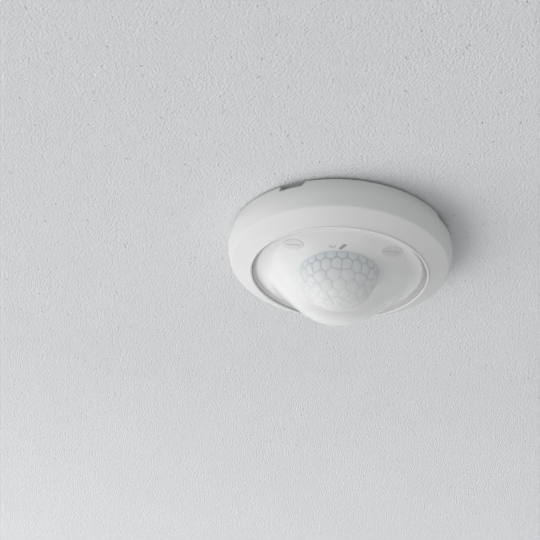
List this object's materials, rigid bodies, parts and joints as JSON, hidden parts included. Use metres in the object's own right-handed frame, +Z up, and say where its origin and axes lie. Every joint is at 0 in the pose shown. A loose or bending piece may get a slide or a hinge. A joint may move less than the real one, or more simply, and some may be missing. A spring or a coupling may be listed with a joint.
{
  "type": "ceiling motion sensor",
  "caption": "Round surface-mounted ceiling motion sensor with a smooth bell-shaped dome over a faceted inner lens, a bevelled clip-on cover, a plug-in module and two setting dials",
  "frame": {"origin": "middle of the flat back of the mounting base, in the plane of the ceiling", "axes": "+Z up through the ceiling, the dome hangs towards -Z, -Y is the side whose wall, face lamp and dials are seen in use, +Y is the wiring side"},
  "size_m": [0.11, 0.11, 0.0444],
  "materials": {
    "cover_plastic": "moulded white plastic with a fine satin grain",
    "white_plastic": "moulded white plastic",
    "grey_plastic": "moulded grey plastic",
    "face_plastic": "moulded pale grey plastic",
    "dome_plastic": "milky, slightly clear glossy plastic",
    "lens_plastic": "milky blue-grey moulded lens plastic",
    "board_green": "lacquered circuit board",
    "black_plastic": "moulded black plastic",
    "grommet_rubber": "soft matt rubber",
    "contact_brass": "stamped brass",
    "plated_steel": "plated steel"
  },
  "bodies": {
    "base": {"mounting_base": "grey_plastic", "cable_grommet": "grommet_rubber", "terminal_block": "white_plastic", "terminal_screw_1": "plated_steel", "terminal_screw_2": "plated_steel", "terminal_screw_3": "plated_steel", "terminal_screw_4": "plated_steel", "contact_socket": "black_plastic"},
    "module": {"module_housing": "white_plastic", "housing_screw_1": "plated_steel", "housing_screw_2": "plated_steel", "housing_screw_3": "plated_steel", "sensor_face": "face_plastic", "inner_lens": "lens_plastic", "sensor_board": "board_green", "board_screw_1": "plated_steel", "board_screw_2": "plated_steel", "heat_detector_1": "plated_steel", "heat_detector_2": "plated_steel", "heat_detector_3": "plated_steel", "status_led": "lens_plastic", "light_sensor": "black_plastic", "light_window": "black_plastic", "power_board": "board_green", "contact_plug": "black_plastic", "contact_blade_1": "contact_brass", "contact_blade_2": "contact_brass", "contact_blade_3": "contact_brass", "contact_blade_4": "contact_brass", "relay": "black_plastic", "control_chip": "black_plastic", "film_capacitor": "grey_plastic", "store_capacitor": "plated_steel", "choke": "black_plastic", "varistor": "grey_plastic", "board_link": "black_plastic", "time_potentiometer": "black_plastic", "light_potentiometer": "black_plastic"},
    "cover": {"housing_cover": "cover_plastic", "outer_dome": "dome_plastic", "dome_clamp_ring": "white_plastic"},
    "time_setting": {"time_dial": "grey_plastic"},
    "light_setting": {"light_dial": "grey_plastic"}
  },
  "joints": [
    {"name": "module_release", "type": "slide", "parent": "base", "child": "module", "axis": [0, 0, -1], "range_m": [0, 0.014]},
    {"name": "cover_release", "type": "slide", "parent": "module", "child": "cover", "axis": [0, 0, -1], "range_m": [0, 0.028]},
    {"name": "time_dial_turn", "type": "hinge", "parent": "module", "child": "time_setting", "pos_m": [-0.02348, -0.02189, -0.0182], "axis": [0, 0, 1], "range_deg": [-135, 135]},
    {"name": "light_dial_turn", "type": "hinge", "parent": "module", "child": "light_setting", "pos_m": [0.02348, -0.02189, -0.0182], "axis": [0, 0, 1], "range_deg": [-135, 135]}
  ]
}
